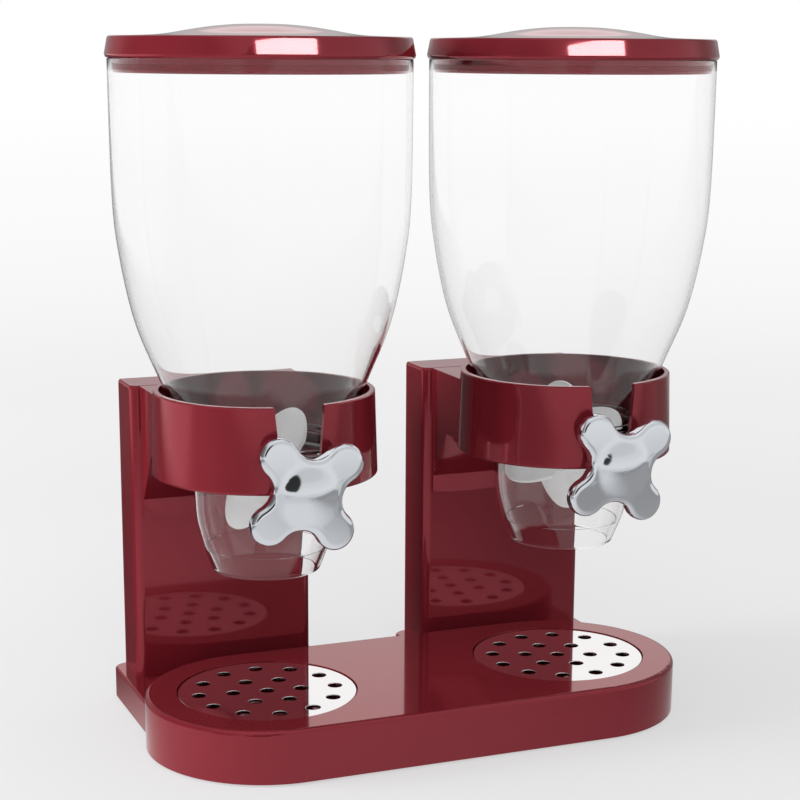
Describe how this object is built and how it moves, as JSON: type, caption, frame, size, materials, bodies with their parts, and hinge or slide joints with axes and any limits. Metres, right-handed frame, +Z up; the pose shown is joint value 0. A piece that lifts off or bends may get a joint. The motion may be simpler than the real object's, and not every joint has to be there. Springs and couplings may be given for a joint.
{
  "type": "double cereal dispenser",
  "caption": "Countertop dry food dispenser: clear hoppers in open collars on columns, paddle wheels turned by lobed knobs, perforated drip trays in a round-ended base.",
  "frame": {"origin": "on the floor, under the middle of the dispenser's bounding box; the two hopper axes stand at X = -99 and +99 mm, Y = -16.9 mm", "axes": "+Z up, -Y the front where the knobs are, +X to the right seen from the front"},
  "size_m": [0.3744, 0.2102, 0.43],
  "materials": {
    "burgundy_gloss": "gloss",
    "burgundy_matte": "fine matt texture",
    "foot_rubber": "matt",
    "screw_steel": "zinc plated",
    "tray_chrome": "polished",
    "clear_plastic": null,
    "gasket_silicone": "translucent",
    "bush_nylon": "satin",
    "paddle_silicone": "translucent white",
    "shaft_steel": "bright",
    "knob_chrome": "plated, polished",
    "seal_rubber": "matt"
  },
  "bodies": {
    "stand": {"base_shell": "burgundy_gloss", "base_plate": "burgundy_matte", "base_feet": "foot_rubber", "base_plate_screws": "screw_steel", "left_column_shell": "burgundy_gloss", "left_column_cover": "burgundy_matte", "left_column_cover_screws": "screw_steel", "left_column_foot_screws": "screw_steel", "left_collar": "burgundy_gloss", "left_collar_screws": "screw_steel", "right_column_shell": "burgundy_gloss", "right_column_cover": "burgundy_matte", "right_column_cover_screws": "screw_steel", "right_column_foot_screws": "screw_steel", "right_collar": "burgundy_gloss", "right_collar_screws": "screw_steel"},
    "left_hopper_unit": {"left_hopper": "clear_plastic", "left_neck_gasket": "gasket_silicone", "left_housing": "clear_plastic", "left_front_bush": "bush_nylon", "left_rear_bush": "bush_nylon"},
    "left_rotor": {"left_paddle_wheel": "paddle_silicone", "left_drive_shaft": "shaft_steel", "left_shaft_clip": "shaft_steel", "left_knob": "knob_chrome"},
    "left_lid_unit": {"left_lid": "burgundy_gloss", "left_lid_seal": "seal_rubber"},
    "left_tray_unit": {"left_tray": "tray_chrome"},
    "right_hopper_unit": {"right_hopper": "clear_plastic", "right_neck_gasket": "gasket_silicone", "right_housing": "clear_plastic", "right_front_bush": "bush_nylon", "right_rear_bush": "bush_nylon"},
    "right_rotor": {"right_paddle_wheel": "paddle_silicone", "right_drive_shaft": "shaft_steel", "right_shaft_clip": "shaft_steel", "right_knob": "knob_chrome"},
    "right_lid_unit": {"right_lid": "burgundy_gloss", "right_lid_seal": "seal_rubber"},
    "right_tray_unit": {"right_tray": "tray_chrome"}
  },
  "joints": [
    {"name": "left_hopper_lift", "type": "slide", "parent": "stand", "child": "left_hopper_unit", "axis": [0, 0, 1], "range_m": [0, 0.13]},
    {"name": "left_knob_turn", "type": "hinge", "parent": "left_hopper_unit", "child": "left_rotor", "pos_m": [-0.099, -0.0169, 0.173], "axis": [0, -1, 0], "continuous": true},
    {"name": "left_lid_lift", "type": "slide", "parent": "left_hopper_unit", "child": "left_lid_unit", "axis": [0, 0, 1], "range_m": [0, 0.06]},
    {"name": "left_tray_lift", "type": "slide", "parent": "stand", "child": "left_tray_unit", "axis": [0, 0, 1], "range_m": [0, 0.04]},
    {"name": "right_hopper_lift", "type": "slide", "parent": "stand", "child": "right_hopper_unit", "axis": [0, 0, 1], "range_m": [0, 0.13]},
    {"name": "right_knob_turn", "type": "hinge", "parent": "right_hopper_unit", "child": "right_rotor", "pos_m": [0.099, -0.0169, 0.173], "axis": [0, -1, 0], "continuous": true},
    {"name": "right_lid_lift", "type": "slide", "parent": "right_hopper_unit", "child": "right_lid_unit", "axis": [0, 0, 1], "range_m": [0, 0.06]},
    {"name": "right_tray_lift", "type": "slide", "parent": "stand", "child": "right_tray_unit", "axis": [0, 0, 1], "range_m": [0, 0.04]}
  ]
}
